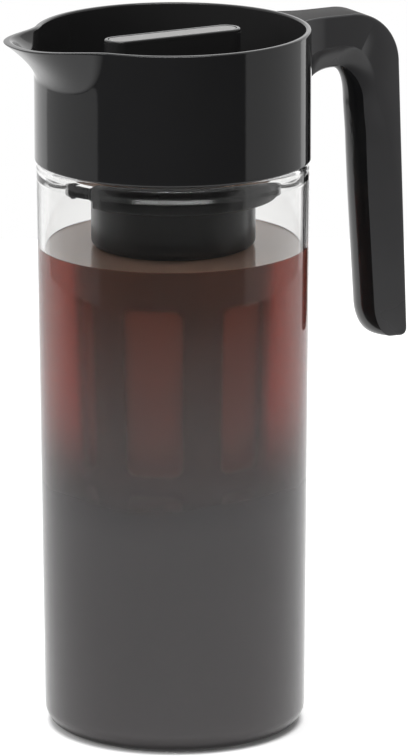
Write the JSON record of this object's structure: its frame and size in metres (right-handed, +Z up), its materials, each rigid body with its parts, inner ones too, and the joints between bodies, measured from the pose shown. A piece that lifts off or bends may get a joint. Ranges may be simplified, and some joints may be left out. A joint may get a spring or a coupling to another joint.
{
  "type": "cold brew coffee maker",
  "caption": "Tall clear pitcher with a black spouted collar, hanging side handle, turn-to-pour lid and a mesh brewing filter hung from the lid.",
  "frame": {"origin": "centre of the pitcher's flat base, on the plane it stands on", "axes": "+Z up along the pitcher's axis; +X towards the handle and -X towards the spout; +Y completes the frame"},
  "size_m": [0.1807, 0.1146, 0.2961],
  "materials": {
    "clear_plastic": "clear polished moulded plastic",
    "collar_black": "gloss black moulded plastic",
    "handle_black": "satin-gloss black moulded plastic",
    "handle_matte": "fine-grained matte black",
    "lid_black": "gloss black moulded plastic",
    "filter_black": "satin black moulded plastic",
    "filter_mesh": "fine woven stainless mesh",
    "silicone": "translucent grey silicone"
  },
  "bodies": {
    "jug": {"pitcher": "clear_plastic", "pitcher_neck": "clear_plastic", "collar": "collar_black", "collar_gasket": "silicone", "handle_shell": "handle_black", "handle_inner_cover": "collar_black", "handle_top_inlay": "handle_matte"},
    "lid_seal": {"lid_seal": "silicone"},
    "lid": {"lid_core": "lid_black", "lid_cover": "lid_black", "grip_cap": "lid_black", "filter_seal": "silicone"},
    "filter": {"filter_cup": "filter_black", "filter_frame": "filter_black", "filter_mesh": "filter_mesh"},
    "base_cap": {"filter_base_cap": "filter_black", "base_cap_seal": "silicone"}
  },
  "joints": [
    {"name": "lid_lift", "type": "slide", "parent": "jug", "child": "lid_seal", "axis": [0, 0, 1], "range_m": [0, 0.285]},
    {"name": "lid_turn", "type": "hinge", "parent": "lid_seal", "child": "lid", "pos_m": [0, 0, 0.2706], "axis": [0, 0, 1], "range_deg": [0, 90]},
    {"name": "filter_twist", "type": "hinge", "parent": "lid", "child": "filter", "pos_m": [0, 0, 0.252], "axis": [0, 0, 1], "range_deg": [-60, 0]},
    {"name": "base_cap_twist", "type": "hinge", "parent": "filter", "child": "base_cap", "pos_m": [0, 0, 0.023], "axis": [0, 0, 1], "range_deg": [-60, 0]}
  ]
}
